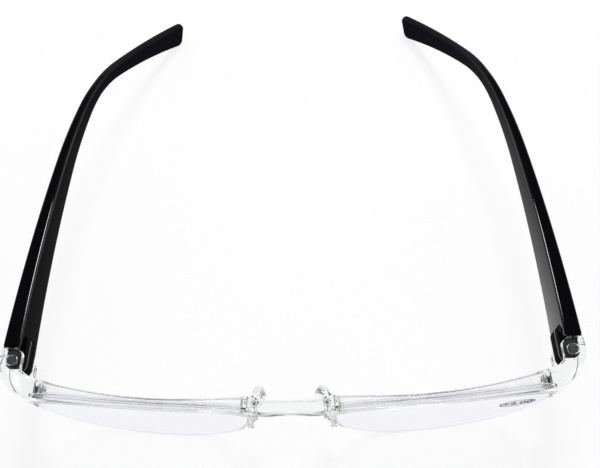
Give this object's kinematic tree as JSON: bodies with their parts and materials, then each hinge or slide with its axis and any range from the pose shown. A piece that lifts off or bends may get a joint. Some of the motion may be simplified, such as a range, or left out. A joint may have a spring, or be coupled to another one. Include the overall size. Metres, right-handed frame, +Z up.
{
  "type": "reading glasses",
  "caption": "Half-rim reading glasses with a clear moulded front, two tinted lenses on nylon cords, clear nose pads and black temples that fold on screw hinges.",
  "frame": {"origin": "on the surface the glasses stand on, at the middle of the box they fill when open", "axes": "the front looks towards -Y, the temples run towards +Y, X runs across the face, Z is up"},
  "size_m": [0.1378, 0.1463, 0.03],
  "materials": {
    "clear_front": "clear, glossy moulded plastic",
    "tinted_lens": "polished, faintly lavender",
    "nylon": "clear nylon",
    "nose_pad": "clear, soft gloss",
    "black_temple": "black, glossy outside, satin at the tips",
    "steel": "bright steel",
    "label": "thin film"
  },
  "bodies": {
    "front": {"front_frame": "clear_front", "lens_left": "tinted_lens", "lens_right": "tinted_lens", "lens_liner_left": "nylon", "lens_liner_right": "nylon", "lens_cord_left": "nylon", "lens_cord_right": "nylon", "nose_pad_left": "nose_pad", "nose_pad_right": "nose_pad", "hinge_screw_left": "steel", "hinge_screw_right": "steel", "hinge_nut_left": "steel", "hinge_nut_right": "steel", "strength_label": "label"},
    "left_temple": {"temple_left": "black_temple", "core_wire_left": "steel", "hinge_bush_left": "steel"},
    "right_temple": {"temple_right": "black_temple", "core_wire_right": "steel", "hinge_bush_right": "steel"}
  },
  "joints": [
    {"name": "right_temple_fold", "type": "hinge", "parent": "front", "child": "right_temple", "pos_m": [0.0658, -0.0598, 0.02498], "axis": [0, 0, 1], "range_deg": [0, 83]},
    {"name": "left_temple_fold", "type": "hinge", "parent": "front", "child": "left_temple", "pos_m": [-0.0658, -0.0598, 0.02498], "axis": [0, 0, -1], "range_deg": [0, 71]}
  ]
}
